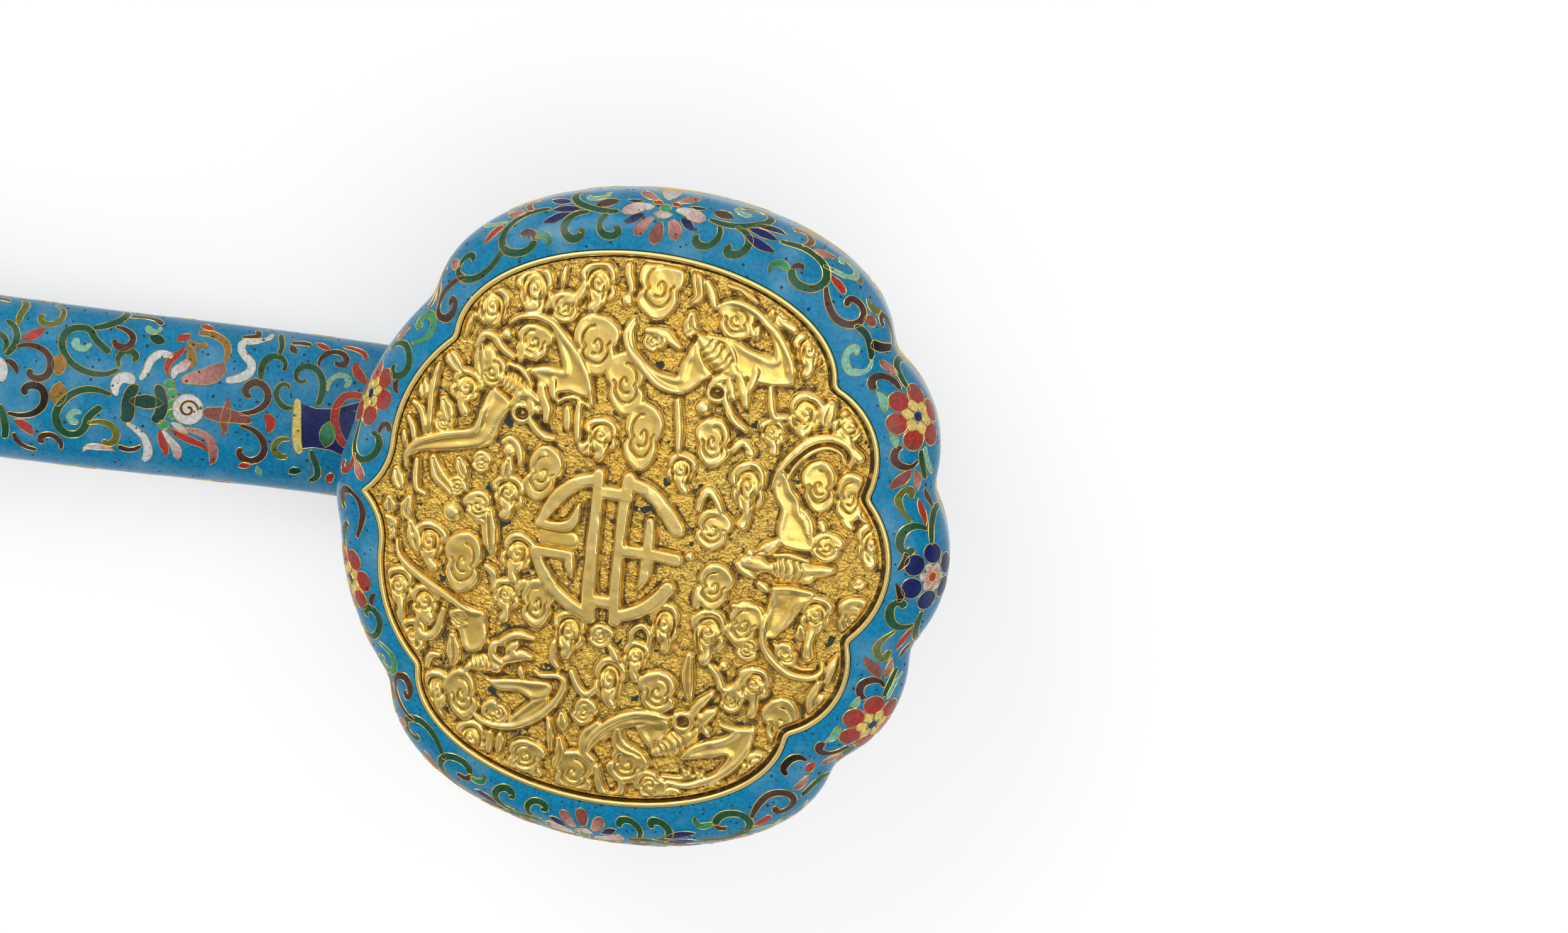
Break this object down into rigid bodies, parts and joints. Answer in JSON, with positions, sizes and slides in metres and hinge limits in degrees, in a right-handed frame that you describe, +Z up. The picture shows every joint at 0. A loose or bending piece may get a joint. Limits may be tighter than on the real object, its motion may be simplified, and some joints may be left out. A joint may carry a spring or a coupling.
{
  "type": "ruyi scepter",
  "caption": "Ruyi scepter: lobed cloisonne head with a gilt relief plaque on a gently curved hollow shaft, with a middle box, a tail box and a tassel loop.",
  "frame": {"origin": "centre of the scepter's box on the surface it lies on", "axes": "+X from the tail to the tip of the head, +Z up out of the plaques, Y across"},
  "size_m": [0.4444, 0.1182, 0.0606],
  "materials": {
    "blue_enamel": "glossy cloisonne enamel on copper, turquoise ground with coloured scrolls and gilt wires",
    "gilt_copper": "mercury-gilt copper, chased relief on a punched ground",
    "bed_wood": "plain dark wood, hidden"
  },
  "bodies": {
    "root": {"head_shell": "blue_enamel", "head_back_plate": "blue_enamel", "head_bezel": "gilt_copper", "head_plaque": "gilt_copper", "head_bed": "bed_wood", "neck_tenon": "gilt_copper", "neck_collar": "gilt_copper", "shaft_head_front": "blue_enamel", "shaft_head_back": "blue_enamel", "middle_shell": "blue_enamel", "middle_back_plate": "blue_enamel", "middle_bezel": "gilt_copper", "middle_plaque": "gilt_copper", "middle_bed": "bed_wood", "middle_tenon": "bed_wood", "shaft_tail_front": "blue_enamel", "shaft_tail_back": "blue_enamel", "tail_shell": "blue_enamel", "tail_back_plate": "blue_enamel", "tail_bezel": "gilt_copper", "tail_plaque": "gilt_copper", "tail_bed": "bed_wood", "tail_tenon": "bed_wood", "loop_rosette": "gilt_copper", "tassel_loop": "gilt_copper"}
  },
  "joints": []
}
